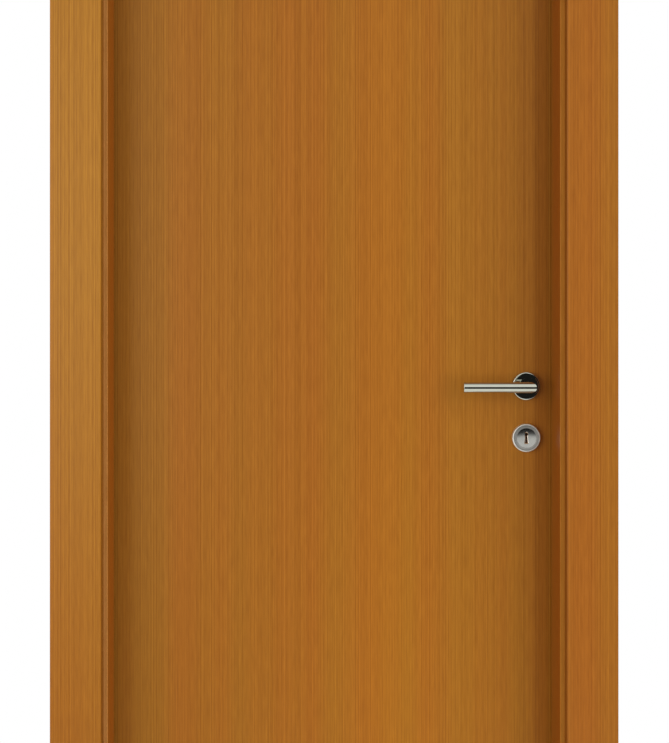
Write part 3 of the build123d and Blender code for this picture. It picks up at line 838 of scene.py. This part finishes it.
def set_screws(body, places, tree, sizes, steel):
    """One joined mesh of screws on a body."""
    points, facings = zip(*places)
    mesh = bpy.data.meshes.new(f"{body}_screws")
    mesh.from_pydata(points, [], [])
    attribute = mesh.attributes.new("facing", "FLOAT_VECTOR", "POINT")
    attribute.data.foreach_set("vector", [part for facing in facings for part in facing])
    screws = bpy.data.objects.new(mesh.name, mesh)
    bpy.context.scene.collection.objects.link(screws)
    modifier = screws.modifiers.new("screws", "NODES")
    modifier.node_group = tree
    for item in tree.interface.items_tree:
        if item.in_out == "INPUT" and item.name == "Material":
            modifier[item.identifier] = steel
        elif item.in_out == "INPUT" and item.name != "Geometry":
            modifier[item.identifier] = getattr(sizes, item.name.lower().replace(" ", "_"))
    graph = bpy.context.evaluated_depsgraph_get()
    finished = bpy.data.meshes.new_from_object(screws.evaluated_get(graph))
    screws.modifiers.clear()
    screws.data = finished
    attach(screws, body)


class DOOR_OT_screws(Operator):
    """Set the countersunk screws in the hinges, the lock's faceplate and the strike plate"""

    bl_idname = "door.screws"
    bl_label = "Screws"

    def execute(self, context):
        """One joined mesh of screws on each body."""
        sizes = context.scene.door_screws
        tree = screw_tree()
        steel = brushed("screw_steel", context.scene.door_metal.hinge_tint, SCREW_ROUGHNESS)
        leaf_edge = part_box("leaf_hinge_stile")[0].x
        frame_places = hinge_screws(sizes, leaf_edge - sizes.hinge_gap, (1, 0, 0))
        frame_places += plate_screws(sizes, "strike_plate", 0, (-1, 0, 0))
        leaf_places = hinge_screws(sizes, leaf_edge, (-1, 0, 0))
        leaf_places += plate_screws(sizes, "lock_faceplate", 1, (1, 0, 0))
        set_screws("frame", frame_places, tree, sizes, steel)
        set_screws("leaf", leaf_places, tree, sizes, steel)
        return {"FINISHED"}


def lay_floor(stage, middle):
    """Round pale floor under the door."""
    bpy.ops.mesh.primitive_circle_add(
        vertices=FLOOR_CORNERS,
        radius=stage.floor_radius,
        fill_type="NGON",
        location=(middle.x, 0, 0),
    )
    floor = bpy.context.object
    floor.name = "floor"
    recipe = Recipe("floor")
    mottle = recipe.noise(recipe.place(), FLOOR_MOTTLE)
    tone = recipe.mottle(mottle, scaled(stage.floor_tone, FLOOR_DULLER), stage.floor_tone)
    floor.data.materials.append(recipe.finish(Base_Color=tone, Roughness=FLOOR_ROUGHNESS))
    floor.visible_glossy = False


def set_surroundings(stage):
    """White all round, with a dark band at eye level that shows in polished metal."""
    world = bpy.data.worlds.new("studio")
    bpy.context.scene.world = world
    world.use_nodes = True
    world.node_tree.nodes.clear()
    wiring = Wiring(world.node_tree)
    direction = wiring.add("ShaderNodeTexCoord", {}, output="Generated")
    rise = wiring.add("ShaderNodeSeparateXYZ", {0: direction}, output="Z")
    stops = [((height + 1) / 2, (grey, grey, grey)) for height, grey in BAND_STOPS]
    band = wiring.ramp(wiring.remap(rise, -1, 1, 0, 1), stops)
    mirrored = wiring.add("ShaderNodeBackground", {0: band})
    lit = wiring.add("ShaderNodeBackground", {0: WHITE, 1: stage.ambient})
    white = wiring.add("ShaderNodeBackground", {0: WHITE})
    glossy_ray = wiring.add("ShaderNodeLightPath", {}, output="Is Glossy Ray")
    camera_ray = wiring.add("ShaderNodeLightPath", {}, output="Is Camera Ray")
    unseen = wiring.add("ShaderNodeMixShader", {0: glossy_ray, 1: lit, 2: mirrored})
    shown = wiring.add("ShaderNodeMixShader", {0: camera_ray, 1: unseen, 2: white})
    wiring.feed(world.node_tree.nodes.new("ShaderNodeOutputWorld").inputs["Surface"], shown)


def set_lamps(stage, middle):
    """Broad soft lamps, out of the camera's sight. Only the left one shows in polished metal."""
    for side, (aside, away) in LAMPS.items():
        lamp = bpy.data.lights.new(f"{side}_lamp", "AREA")
        lamp.shape = "RECTANGLE"
        lamp.size = LAMP_WIDTH
        lamp.size_y = LAMP_LENGTH
        lamp.energy = getattr(stage, f"{side}_power")
        holder = bpy.data.objects.new(lamp.name, lamp)
        bpy.context.scene.collection.objects.link(holder)
        holder.location = (middle.x + aside, away, LAMP_HEIGHT)
        aim = Vector((middle.x, 0, AIM_HEIGHT)) - holder.location
        holder.rotation_euler = aim.to_track_quat("-Z", "Y").to_euler()
        holder.visible_camera = False
        holder.visible_glossy = side == "left"


def set_camera(stage):
    """Camera at the picture's angle, looking straight at the door."""
    lens = bpy.data.cameras.new("camera")
    lens.lens = stage.focal_pixels * lens.sensor_width / PHOTO_HEIGHT
    lens.shift_x = (PHOTO_WIDTH / 2 - stage.eye_x) / PHOTO_HEIGHT
    lens.shift_y = (stage.eye_y - PHOTO_HEIGHT / 2) / PHOTO_HEIGHT
    camera = bpy.data.objects.new("camera", lens)
    bpy.context.scene.collection.objects.link(camera)
    camera.location = (stage.camera_x, stage.camera_y, stage.camera_z)
    camera.rotation_euler = (math.pi / 2, 0, 0)
    bpy.context.scene.camera = camera


class DOOR_OT_stage(Operator):
    """Lay the floor, set the light and place the camera"""

    bl_idname = "door.stage"
    bl_label = "Stage"

    def execute(self, context):
        """Pale floor, white surroundings with a dark band, lamps, camera."""
        stage = context.scene.door_stage
        middle = (cad_box[0] + cad_box[1]) / 2
        lay_floor(stage, middle)
        set_surroundings(stage)
        set_lamps(stage, middle)
        set_camera(stage)
        context.scene.view_settings.view_transform = "Standard"
        return {"FINISHED"}


STEPS = (
    DOOR_OT_leaf,
    DOOR_OT_jambs,
    DOOR_OT_casings,
    DOOR_OT_seals,
    DOOR_OT_levers,
    DOOR_OT_handle_roses,
    DOOR_OT_key_roses,
    DOOR_OT_hinges,
    DOOR_OT_lock,
    DOOR_OT_screws,
    DOOR_OT_stage,
)


class DOOR_PT_steps(Panel):
    """Steps that finish the door, in order"""

    bl_label = "Flush Door"
    bl_space_type = "VIEW_3D"
    bl_region_type = "UI"
    bl_category = "Flush Door"

    def draw(self, context):
        """A button for each step."""
        for step in STEPS:
            self.layout.operator(step.bl_idname)


SETTINGS = {
    "door_veneer": VeneerSettings,
    "door_metal": MetalSettings,
    "door_screws": ScrewSettings,
    "door_stage": StageSettings,
}


def register():
    """Register the settings, the steps and the panel."""
    for name, group in SETTINGS.items():
        bpy.utils.register_class(group)
        setattr(bpy.types.Scene, name, PointerProperty(type=group))
    for step in (*STEPS, DOOR_PT_steps):
        bpy.utils.register_class(step)


def unregister():
    """Remove what register added."""
    for step in (DOOR_PT_steps, *reversed(STEPS)):
        bpy.utils.unregister_class(step)
    for name, group in reversed(SETTINGS.items()):
        delattr(bpy.types.Scene, name)
        bpy.utils.unregister_class(group)


def main():
    """Register the settings, steps and panel, then run every step in order."""
    register()
    for step in STEPS:
        group, name = step.bl_idname.split(".")
        getattr(getattr(bpy.ops, group), name)()


if __name__ == "__main__":
    main()
